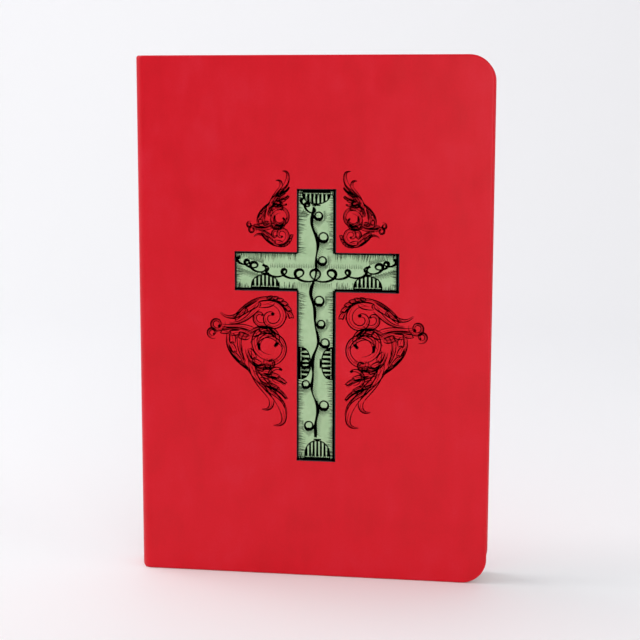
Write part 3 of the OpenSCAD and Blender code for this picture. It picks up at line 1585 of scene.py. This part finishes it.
@dataclass(frozen=True)
class Cross:
    """The printed cross: an inked ground, its outline, shading, reeded ends and a vine."""

    book: Book
    under: float
    seed: int = 5
    beam: float = 15.2
    outline: float = 0.46
    ground: float = 0.04 * MM
    line: float = 0.025 * MM
    reed_radius: float = 5.6
    reeds: int = 7
    inset: float = 0.9
    hatch_pitch: float = 0.42
    hair: float = 0.1
    weight: float = 1.22

    @property
    def box(self) -> tuple[float, float, float, float]:
        """The cross's left, right, foot and top, in millimetres."""
        low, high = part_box("cross_print")
        return low.x / MM, high.x / MM, low.z / MM, high.z / MM

    @property
    def middle(self) -> Place:
        """Where the two beams cross."""
        left, right, foot, top = self.box
        arm = foot + (top - foot) * 0.701
        return (left + right) / 2, arm

    def build(self, finishes: Finishes) -> None:
        """Builds the ground and the line work.

        Args:
            finishes: The book's materials.
        """
        ground = self.build_ground()
        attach(ground, "front_cover")
        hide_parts("cross_print")
        pen = Pen(self.under - self.ground, self.line, self.weight)
        self.draw_outline(pen)
        self.draw_hatching(pen)
        self.draw_reeded_ends(pen)
        self.draw_vine(pen)
        lines = pen.done("cross_line_work", finishes.black)
        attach(lines, "front_cover")

    def reach(self, paint: Paint) -> Value:
        """Distance inwards from the cross's rim.

        Args:
            paint: The material in the making.

        Returns:
            The distance in millimetres.
        """
        left, right, foot, top = self.box
        centre, arm = self.middle
        half = self.beam / 2
        across = abs(paint.x - centre)
        up = abs(paint.z - arm)
        post = (half - across).least((paint.z - foot).least(top - paint.z))
        bar = (half - up).least((right - left) / 2 - across)
        return post.most(bar)

    def build_ground(self) -> bpy.types.Object:
        """Builds the green ground of the cross.

        Returns:
            The ground.
        """
        left, right, foot, top = self.box
        centre, arm = self.middle
        half = self.beam / 2
        bm = bmesh.new()
        bmesh.ops.create_grid(bm, x_segments=3, y_segments=3, size=0.5)
        xs = (left, centre - half, centre + half, right)
        zs = (foot, arm - half, arm + half, top)
        for vert in bm.verts:
            column = round((vert.co.x + 0.5) * 3)
            row = round((vert.co.y + 0.5) * 3)
            vert.co = Vector((xs[column] * MM, self.under, zs[row] * MM))
        corners = []
        for face in bm.faces:
            middle = face.calc_center_median() / MM
            if abs(middle.x - centre) > half and abs(middle.z - arm) > half:
                corners.append(face)
        bmesh.ops.delete(bm, geom=corners, context="FACES")
        made = bmesh.ops.extrude_face_region(bm, geom=bm.faces[:])
        lifted = [v for v in made["geom"] if isinstance(v, bmesh.types.BMVert)]
        bmesh.ops.translate(bm, vec=(0, -self.ground, 0), verts=lifted)
        bmesh.ops.recalc_face_normals(bm, faces=bm.faces[:])
        return make_object(bm, "cross_ground", SageInk(self.reach).make())

    def rim(self) -> list[tuple[Vector, Vector]]:
        """The cross's twelve edges.

        Returns:
            Each edge's two ends, so that the cross is on the left of each.
        """
        left, right, foot, top = self.box
        centre, arm = self.middle
        half = self.beam / 2
        a, b = centre - half, centre + half
        low, high = arm - half, arm + half
        corners = [
            (a, foot), (b, foot), (b, low), (right, low), (right, high), (b, high),
            (b, top), (a, top), (a, high), (left, high), (left, low), (a, low),
        ]
        walk = [Vector(c) for c in corners]
        return list(zip(walk, walk[1:] + walk[:1]))

    def draw_outline(self, pen: Pen) -> None:
        """Draws the rim, heavier below and at the right, as if lit from the upper left.

        Args:
            pen: The pen.
        """
        for start, end in self.rim():
            run = (end - start).normalized()
            shaded = run.x > 0.5 or run.y > 0.5
            width = self.outline * (1.15 if shaded else 0.7)
            inward = Vector((-run.y, run.x)) * width * 0.5
            path = [start.lerp(end, k / 12) + inward for k in range(13)]
            path[0] -= run * width * 0.5
            path[-1] += run * width * 0.5
            pen.stroke(path, even(width))

    def draw_hatching(self, pen: Pen) -> None:
        """Draws short strokes inwards from the rim.

        Args:
            pen: The pen.
        """
        rng = random.Random(self.seed)
        for start, end in self.rim():
            run = end - start
            inward = Vector((-run.y, run.x)).normalized()
            count = int(run.length / self.hatch_pitch)
            for k in range(1, count):
                share = (k + rng.uniform(-0.3, 0.3)) / count
                swell = 0.55 + 0.45 * math.cos(4 * math.pi * share)
                length = 0.9 + rng.random() * 1.7 + swell * 1.9
                lean = run.normalized() * rng.uniform(-0.12, 0.3)
                foot = start + run * share
                path = [foot + (inward + lean) * (length * j / 3) for j in range(4)]
                pen.stroke(path, running_out(0.115))

    def draw_reeded_ends(self, pen: Pen) -> None:
        """Draws reeded half-rounds at the ends, under the arms and on the post's sides.

        Args:
            pen: The pen.
        """
        left, right, foot, top = self.box
        centre, arm = self.middle
        side = self.beam / 2 - self.inset
        low = arm - self.beam / 2 + self.inset
        waist = foot + (arm - foot) * 0.52
        radius = self.reed_radius
        up, down = Vector((0, 1)), Vector((0, -1))
        panels = (
            (Vector((left + (centre - left) * 0.37, low)), up, radius, radius * 0.95),
            (Vector((right - (right - centre) * 0.37, low)), up, radius, radius * 0.95),
            (Vector((centre - side, waist)), Vector((1, 0)), radius * 1.15, radius * 0.8),
            (Vector((centre + side, waist)), Vector((-1, 0)), radius * 1.15, radius * 0.8),
            (Vector((centre + 0.6, foot + self.inset)), up, radius * 0.92, radius * 1.3),
            (Vector((centre, top - self.inset)), down, radius, radius * 0.85),
        )
        for base, inward, half_width, depth in panels:
            self.draw_half_round(pen, base, inward, half_width, depth)

    def draw_half_round(
        self, pen: Pen, base: Vector, inward: Vector, half_width: float, depth: float
    ) -> None:
        """Draws one half-round with reeds and a cap.

        Args:
            pen: The pen.
            base: Middle of its flat side.
            inward: Direction of its round side.
            half_width: Half its flat side.
            depth: How far its round side stands off.
        """
        along = Vector((-inward.y, inward.x))
        arc = []
        for k in range(25):
            angle = math.pi * (k / 24 - 0.5)
            reach = along * math.sin(angle) * half_width
            arc.append(base + reach + inward * math.cos(angle) ** 0.75 * depth)
        pen.stroke(arc, even(0.2))
        pen.stroke([base - along * half_width, base, base + along * half_width], even(0.4))
        for k in range(self.reeds):
            off = 2 * (k + 0.5) / self.reeds - 1
            height = depth * (1 - off**2) ** 0.375
            foot = base + along * off * half_width + inward * 0.8
            path = [foot + inward * ((height - 0.8) * j / 2) for j in range(3)]
            pen.stroke(path, lambda t: half_width / self.reeds * (0.56 - 0.14 * t))
        cap = base + inward * (depth + 0.5)
        pen.stroke([cap - along * half_width * 0.3, cap, cap + along * half_width * 0.3], even(0.24))

    def draw_vine(self, pen: Pen) -> None:
        """Draws a winding stem up the post, one along the arms, and their tendrils.

        Args:
            pen: The pen.
        """
        left, right, foot, top = self.box
        centre, arm = self.middle
        low, high = foot + self.reed_radius * 1.3 + 2.2, top - self.reed_radius * 0.85 - 2.0
        steps = 110
        walk = []
        for k in range(steps + 1):
            z = low + (high - low) * k / steps
            sway = 1.1 * math.sin(0.19 * (z - low)) + 0.5 * math.sin(0.47 * z)
            walk.append(Vector((centre + sway - 0.6, z)))
        pen.stroke(walk, lambda t: 0.44 + 0.12 * math.sin(61 * t) + 0.08 * math.sin(23 * t))
        for k in range(2, steps - 2):
            start = walk[k] + Vector((0.5, 0.0))
            self.shade(pen, start, start + Vector((1.7, -1.4)))
        count = 11
        for k in range(count):
            share = (k + 0.6) / count
            root = walk[int(share * steps)]
            if abs(root.y - arm) > 3.2:
                hand = 1 if share > 0.42 or k % 3 == 1 else -1
                self.draw_tendril(pen, root, hand, 1.75 + 0.2 * math.sin(2.3 * k))
        level = arm + 0.9
        for hand, tip in ((-1, left), (1, right)):
            reach = abs(tip - centre)
            self.draw_coils(pen, (centre - 0.4, level), (centre + hand * reach * 0.58, level), 3, 2.3)
            start = (centre + hand * reach * 0.66, arm + 2.6)
            end = (centre + hand * (reach - 2.0), arm + self.beam / 2 - 2.4)
            self.draw_coils(pen, start, end, 3, 1.6)
            bridge = bezier(
                (
                    (centre + hand * reach * 0.58, level),
                    (centre + hand * reach * 0.62, level + 2.4),
                    (centre + hand * reach * 0.64, level + 0.6),
                    start,
                ),
                12,
            )
            pen.stroke(bridge, even(0.3))
        self.draw_coils(pen, (centre - 1.0, high - 0.6), (centre - self.beam * 0.34, top - 4.0), 2, 1.2)

    def shade(self, pen: Pen, start: Vector, end: Vector) -> None:
        """Draws one fine stroke of shade, if it stays on the green.

        Args:
            pen: The pen.
            start: Where it starts.
            end: Where it runs out.
        """
        left, right, foot, top = self.box
        centre, arm = self.middle
        half = self.beam / 2 - self.inset
        on_post = abs(end.x - centre) < half and foot < end.y < top - self.inset
        on_bar = abs(end.y - arm) < half and left + self.inset < end.x < right - self.inset
        if on_post or on_bar:
            pen.stroke([start, start.lerp(end, 0.5), end], running_out(self.hair))

    def draw_tendril(self, pen: Pen, root: Vector, hand: int, size: float) -> None:
        """Draws a curl beside the stem, with strokes of shade below and behind it.

        Args:
            pen: The pen.
            root: Where it leaves the stem.
            hand: 1 for a curl to the right and -1 for one to the left.
            size: The curl's radius.
        """
        centre = root + Vector((hand * (size + 0.9), -0.2))
        lead = bezier(
            (
                (root.x, root.y + 1.6),
                (root.x + hand * 0.3, root.y - 0.2),
                (root.x + hand * 0.6, root.y - size),
                (centre.x, centre.y - size),
            ),
            8,
        )
        pen.stroke(lead, lambda t: 0.22 + 0.26 * t)
        loop = volute((centre.x, centre.y), (size, size * 0.86), (-90, -90 + hand * 385), 26)
        pen.stroke(loop, lambda t: 0.24 + 0.3 * math.cos(math.pi * t) ** 4)
        for k in range(11):
            off = k - 5
            below = centre + Vector((off * 0.42, -size - 0.5 + 0.1 * abs(off)))
            length = 2.6 - 0.28 * abs(off)
            self.shade(pen, below, below + Vector((0, -length)))
            beside = centre + Vector((hand * (size + 0.45), off * 0.36))
            self.shade(pen, beside, beside + Vector((hand * length * 0.7, 0.15)))

    def draw_coils(self, pen: Pen, start: Place, end: Place, coils: int, size: float) -> None:
        """Draws a coiled branch and the strokes of shade along it.

        Args:
            pen: The pen.
            start: Where it starts.
            end: Where it ends.
            coils: Number of coils.
            size: The coils' radius.
        """
        first = Vector(start)
        run = Vector(end) - first
        along = run.normalized()
        down = Vector((along.y, -along.x)) * (1 if along.x > 0 else -1)
        steps = 24 * coils
        path = []
        for k in range(steps + 1):
            share = k / steps
            turn = 2 * math.pi * coils * share
            swell = size * (0.85 + 0.2 * math.sin(5 * share + 1))
            place = first + run * share - along * swell * math.sin(turn) * 1.45
            path.append(place + down * swell * (1 - math.cos(turn)))
        pen.stroke(path, lambda t: 0.4 + 0.14 * math.cos(2 * math.pi * coils * t + 1))
        for k in range(coils * 9):
            share = k / (coils * 9)
            below = first + run * share + down * (2 * size + 0.5 + 0.25 * (k % 3))
            self.shade(pen, below, below + down * 2.3)
            above = first + run * share - down * (0.5 + 0.2 * (k % 2))
            self.shade(pen, above, above - down * 1.8)


@dataclass(frozen=True)
class Scrolls:
    """Four sprays of drawn scrollwork, mirrored left and right of the cross."""

    book: Book
    cross: Cross
    under: float
    ink: float = 0.03 * MM
    gap: float = 1.9
    upper: Vector = Vector((0.53, 0.57))

    def build(self, finishes: Finishes) -> bpy.types.Object:
        """Draws the sprays.

        Args:
            finishes: The book's materials.

        Returns:
            The scrollwork.
        """
        pen = Pen(self.under, self.ink)
        centre, arm = self.cross.middle
        half = self.cross.beam / 2
        for hand in (-1, 1):
            root = Vector((centre + hand * (half + self.gap), arm))
            for lift, size in ((-half - self.gap, Vector((1.0, -1.0))), (half + self.gap, self.upper)):
                self.spray(pen, root + Vector((0, lift)), Vector((size.x * hand, size.y)))
        obj = pen.done("scroll_work", finishes.black)
        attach(obj, "front_cover")
        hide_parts("scroll_print")
        return obj

    def spray(self, pen: Pen, root: Vector, size: Vector) -> None:
        """Draws one spray, outwards from the post and away from the arm.

        Args:
            pen: The pen.
            root: The corner of the spray that is nearest to the cross's middle.
            size: Scale across and away, with their signs.
        """
        weight = abs(size.y) ** 0.4

        def placed(path: list[Vector]) -> list[Vector]:
            """Scales a path and moves it to the root."""
            return [root + Vector((p.x * size.x, p.y * size.y)) for p in path]

        brush = ScrollBrush(pen, placed, weight)
        # The crest and the upper scroll, which rolls in beside the post
        brush.frond(((10.5, 2.0), (6, 1.4), (2.4, 3.4), (1.6, 9.6)), (1.0, 1.4), 6, 1)
        brush.roll((8.6, 9.2), (7.0, 1.4), (-70, -500), 1.4)
        brush.roll((13.2, 9.0), (4.0, 1.1), (150, -160), 0.9)
        brush.frond(((7.0, 2.2), (15, 0.4), (20, 5.5), (24.5, 10)), (2.4, 0.9), 3, 1)
        brush.band(((16, 4.2), (20, 7), (25, 12), (29.5, 7.4)), (1.3, 0.2))
        brush.band(((14, 5.0), (17, 8), (20, 12.4), (26, 11.6)), (1.1, 0.2))
        # The bud at the outer end
        brush.roll((31.0, 12.2), (2.9, 1.2), (200, -250), 0.7)
        brush.roll((32.8, 15.6), (2.2, 0.9), (120, -260), 0.6)
        brush.frond(((17, 17), (22, 13), (26, 15), (29.5, 14.4)), (2.2, 1.0), 3, 1)
        brush.band(((15, 15), (20, 11.5), (25, 13.6), (29, 12.6)), (1.0, 0.4))
        # The knot in the middle: bands that turn through each other
        brush.roll((9.8, 18.4), (7.2, 3.4), (100, -230), 1.3)
        brush.roll((9.2, 21.2), (6.8, 4.4), (60, 380), 1.1)
        brush.band(((16.4, 20.5), (12, 14.5), (8, 15.5), (3.6, 21.5)), (1.3, 0.3))
        brush.frond(((17.5, 16.0), (13, 12), (10, 13), (6.4, 16)), (1.8, 0.5), 3, -1)
        brush.shade((20.4, 17.0), (5.2, 3.4), 24, 14)
        brush.shade((9.0, 26.6), (6.4, 1.6), 20, 12)
        # The outer leaf that hangs from the knot
        brush.frond(((25.5, 15.5), (28, 22), (23, 27), (17.4, 31.4)), (2.2, 0.3), 4, 1)
        brush.band(((21.5, 17), (22.6, 22), (20.6, 25), (19.4, 27.5)), (0.9, 0.2))
        # The lower scroll and its leaves, towards the post
        brush.frond(((18.4, 22), (18, 28), (13, 31), (8.4, 29.4)), (1.9, 0.9), 3, 1)
        brush.roll((9.0, 27.6), (2.4, 0.8), (-40, 330), 0.7)
        brush.roll((6.0, 32.6), (4.2, 2.6), (100, -130), 0.9)
        brush.frond(((15.5, 30), (11, 33), (7, 32.5), (3.0, 36.5)), (2.0, 0.8), 4, 1)
        brush.frond(((13.8, 34.5), (10, 38), (6, 37), (2.6, 42.5)), (1.7, 0.5), 3, 1)
        # The tail, in long bands that end in hooks
        brush.band(((18.6, 21), (20, 33), (7.6, 37), (4.6, 46)), (1.9, 1.1))
        brush.band(((4.9, 44.5), (2.2, 51), (3.6, 53.4), (7.8, 53.2)), (1.3, 0.1))
        brush.band(((16.8, 25), (17.4, 35), (11, 38), (8.6, 43)), (1.3, 0.8))
        brush.band(((8.8, 42.2), (8.0, 45.4), (9.6, 47.4), (12.6, 46.6)), (1.1, 0.1))
        brush.band(((12.0, 36), (9.6, 41), (3.4, 40), (2.4, 48.5)), (0.9, 0.2))


@dataclass(frozen=True)
class ScrollBrush:
    """Draws the rolled bands and lobed leaves of one spray."""

    pen: Pen
    placed: Callable[[list[Vector]], list[Vector]]
    weight: float
    contour: float = 0.25
    fine: float = 0.1
    vein: float = 0.55

    def line(self, path: list[Vector], width: float) -> None:
        """Draws one line that runs out at both ends."""
        self.pen.stroke(self.placed(path), tapering(width * self.weight, 0.04))

    def roll(self, centre: Place, radii: Place, angles: Place, width: float) -> None:
        """Draws a band that rolls up into a dark eye.

        Args:
            centre: The roll's centre.
            radii: First and last radius.
            angles: First and last angle, in degrees.
            width: Half the band's width at its start.
        """
        middle = volute(centre, radii, angles, 44)
        heart = Vector(centre)
        for share, weight in ((1.0, 1.1), (-1.0, 0.85), (0.1, 0.42)):
            side = []
            for k, place in enumerate(middle):
                half = width * (1 - 0.6 * k / 44)
                side.append(place + (place - heart).normalized() * half * share)
            begin, finish = (0, 44) if abs(share) == 1.0 else (4 + int(8 * abs(share)), 30)
            self.line(side[begin : finish + 1], self.contour * weight)
        self.line(middle[-7:], self.contour * 2.2)

    def shade(self, centre: Place, size: Place, lean: float, count: int) -> None:
        """Draws a patch of fine strokes.

        Args:
            centre: The patch's centre.
            size: Its width and the strokes' length.
            lean: The strokes' lean, in degrees.
            count: Number of strokes.
        """
        ahead = Vector((math.sin(math.radians(lean)), math.cos(math.radians(lean))))
        for k in range(count):
            off = 2 * (k + 0.5) / count - 1
            foot = Vector(centre) + Vector((off * size[0] / 2, 0.4 * math.sin(9 * off)))
            length = size[1] * (1 - 0.6 * off * off)
            self.line([foot - ahead * length / 2, foot, foot + ahead * length / 2], self.fine * 1.1)

    def band(self, points: tuple[Place, Place, Place, Place], widths: Place) -> None:
        """Draws a smooth band with one fine line along it.

        Args:
            points: Control points of the band's middle.
            widths: Half the band's width at its root and tip.
        """
        middle = bezier(points, 28)
        rows = ((1, 1.1, 0, 28), (-1, 0.9, 0, 28), (0.1, 0.42, 3, 22))
        for share, weight, begin, finish in rows:
            side = []
            for k, place in enumerate(middle):
                run = (middle[min(k + 1, 28)] - middle[max(k - 1, 0)]).normalized()
                half = widths[0] + (widths[1] - widths[0]) * k / 28
                side.append(place + Vector((-run.y, run.x)) * half * share)
            self.line(side[begin : finish + 1], self.contour * weight)

    def frond(
        self, points: tuple[Place, Place, Place, Place], widths: Place, lobes: int, hand: int
    ) -> None:
        """Draws a leaf with a smooth back and a lobed front.

        Args:
            points: Control points of the leaf's spine.
            widths: Half the leaf's width at its root and tip.
            lobes: Number of lobes.
            hand: 1 for lobes to the left of the spine and -1 for the right.
        """
        spine = bezier(points, 40)

        def at(share: float, off: float) -> Vector:
            """Finds a place beside the spine.

            Args:
                share: Share of the spine's length.
                off: Distance from it, in half widths.

            Returns:
                The place.
            """
            share = min(max(share, 0.0), 1.0)
            k = min(int(share * 40), 39)
            run = (spine[k + 1] - spine[k]).normalized()
            swell = widths[0] + (widths[1] - widths[0]) * share
            place = spine[k].lerp(spine[k + 1], share * 40 - k)
            return place + Vector((-run.y, run.x)) * hand * swell * off

        def walk(stops: tuple[tuple[float, float], ...], steps: int = 8) -> list[Vector]:
            """Walks a curve whose four control points are given beside the spine."""
            a, b, c, d = (at(*stop) for stop in stops)
            return bezier(((a.x, a.y), (b.x, b.y), (c.x, c.y), (d.x, d.y)), steps)

        self.line([at(k / 30, -0.5) for k in range(31)], self.contour * 1.15)
        self.line([at(0.03 + k / 50, -0.22) for k in range(34)], self.fine)
        self.line([at(0.3 + k / 50, -0.1) for k in range(30)], self.fine * 1.2)
        step = 1 / lobes
        for k in range(lobes):
            start = k * step
            tip = (start + 1.1 * step, 1.5)
            notch = (start + step, 0.3)
            rise = ((start, 0.3), (start - 0.1 * step, 1.2), (start + 0.5 * step, 1.6), tip)
            fall = (tip, (start + 0.85 * step, 1.1), (start + 0.8 * step, 0.6), notch)
            back = (notch, (start + 0.8 * step, 0.2), (start + 0.5 * step, 0.1), (start, 0.0))
            self.line(walk(rise), self.contour)
            self.line(walk(fall), self.contour)
            self.line(walk(back), self.contour * 1.3)
            share = self.vein
            vein = (
                (start + (0.2 + share) * step, 1.12 - 0.15 * share),
                (start + 0.7 * share * step, 0.8),
                (start + 0.4 * share * step, 0.5),
                (start - 0.3 * step, 0.15),
            )
            self.line(walk(vein, 5), self.fine)


@dataclass(frozen=True)
class CoverPrint:
    """Everything printed on the front cover."""

    book: Book

    def build(self, finishes: Finishes) -> None:
        """Prints the cross and the scrollwork.

        Args:
            finishes: The book's materials.
        """
        under = self.book.front_y
        cross = Cross(self.book, under)
        cross.build(finishes)
        Scrolls(self.book, cross, under).build(finishes)


# ---------------------------------------------------------------------------
# Studio
# ---------------------------------------------------------------------------


@dataclass(frozen=True)
class Lamp:
    """A rectangular soft light that points at the book."""

    name: str
    place: tuple[float, float, float]
    size: tuple[float, float]
    power: float
    colour: Colour = (1.0, 1.0, 1.0)

    def hang(self, target: Vector) -> None:
        """Makes the light.

        Args:
            target: The point that it faces.
        """
        data = bpy.data.lights.new(self.name, "AREA")
        data.shape = "RECTANGLE"
        data.size, data.size_y = self.size
        data.energy = self.power
        data.color = self.colour
        obj = bpy.data.objects.new(self.name, data)
        obj.location = self.place
        obj.rotation_euler = (target - Vector(self.place)).to_track_quat("-Z", "Y").to_euler()
        bpy.context.scene.collection.objects.link(obj)


@dataclass(frozen=True)
class Studio:
    """Camera, seamless paper and soft lights."""

    book: Book
    lens: float = 80.0
    sensor: float = 36.0
    azimuth: float = 8.427
    elevation: float = 8.101
    roll: float = 0.142
    distance: float = 0.5672
    target: tuple[float, float, float] = (0.00358, -0.00845, 0.10583)
    cove_front: float = -3.6
    cove_back: float = 0.7
    cove_radius: float = 0.5
    cove_height: float = 2.2
    cove_width: float = 7.0
    room_colour: Colour = (1.0, 1.0, 1.02)
    room_strength: float = 0.5

    def build(self) -> None:
        """Sets up the camera, the paper and the lights."""
        self.camera()
        self.cove()
        self.lights()

    def camera(self) -> None:
        """Makes the scene's camera."""
        data = bpy.data.cameras.new("camera")
        data.lens = self.lens
        data.sensor_width = self.sensor
        data.clip_start = 0.01
        turn, rise = math.radians(self.azimuth), math.radians(self.elevation)
        back = Vector((math.sin(turn) * math.cos(rise), -math.cos(turn) * math.cos(rise), math.sin(rise)))
        obj = bpy.data.objects.new("camera", data)
        obj.location = Vector(self.target) + back * self.distance
        aim = (-back).to_track_quat("-Z", "Y").to_matrix()
        obj.rotation_euler = (aim @ Matrix.Rotation(math.radians(self.roll), 3, "Z")).to_euler()
        bpy.context.scene.collection.objects.link(obj)
        bpy.context.scene.camera = obj

    def cove(self) -> None:
        """Makes the floor that curves up into a back wall."""
        bm = bmesh.new()
        foot = bm.verts.new((-self.cove_width / 2, self.cove_front, 0))
        made = bmesh.ops.extrude_vert_indiv(bm, verts=[foot])
        edge_end = made["verts"][0]
        edge_end.co = (-self.cove_width / 2, self.cove_back, 0)
        made = bmesh.ops.spin(
            bm,
            geom=[edge_end],
            cent=(0, self.cove_back, self.cove_radius),
            axis=(1, 0, 0),
            angle=math.pi / 2,
            steps=24,
        )
        last = next(v for v in made["geom_last"] if isinstance(v, bmesh.types.BMVert))
        made = bmesh.ops.extrude_vert_indiv(bm, verts=[last])
        made["verts"][0].co.z = self.cove_height
        made = bmesh.ops.extrude_edge_only(bm, edges=bm.edges[:])
        moved = [v for v in made["geom"] if isinstance(v, bmesh.types.BMVert)]
        bmesh.ops.translate(bm, vec=(self.cove_width, 0, 0), verts=moved)
        bmesh.ops.recalc_face_normals(bm, faces=bm.faces[:])
        obj = make_object(bm, "seamless_paper", StudioPaper().make(), sharp=60)

    def lights(self) -> None:
        """Makes the soft lights and the room's own light."""
        target = Vector(self.target)
        lamps = (
            Lamp("left_key", (-1.3, -0.1, 0.62), (0.45, 0.6), 3.1),
            Lamp("front_fill", (0.4, -1.1, 0.3), (0.5, 0.45), 3.4),
            Lamp("ceiling", (0.0, -0.3, 1.9), (1.6, 1.6), 1.4),
            Lamp("left_wall", (-1.0, 0.1, 1.6), (1.2, 1.2), 12.0),
            Lamp("right_wall", (1.3, -0.3, 0.9), (0.9, 0.9), 2.6),
        )
        for lamp in lamps:
            lamp.hang(target)
        world = bpy.data.worlds.new("room")
        world.use_nodes = True
        sky = world.node_tree.nodes["Background"].inputs
        sky["Color"].default_value = (*self.room_colour, 1.0)
        sky["Strength"].default_value = self.room_strength
        bpy.context.scene.world = world
        bpy.context.scene.view_settings.view_transform = "Standard"


# ---------------------------------------------------------------------------


def main() -> None:
    """Builds the prayer book and its studio."""
    book = Book.from_frame()
    Studio(book).build()
    finishes = Finishes.make_all()
    Case(book).build(finishes)
    TextBlock(book).build(finishes)
    SpineWorks(book).build(finishes)
    CoverPrint(book).build(finishes)


if __name__ == "__main__":
    main()
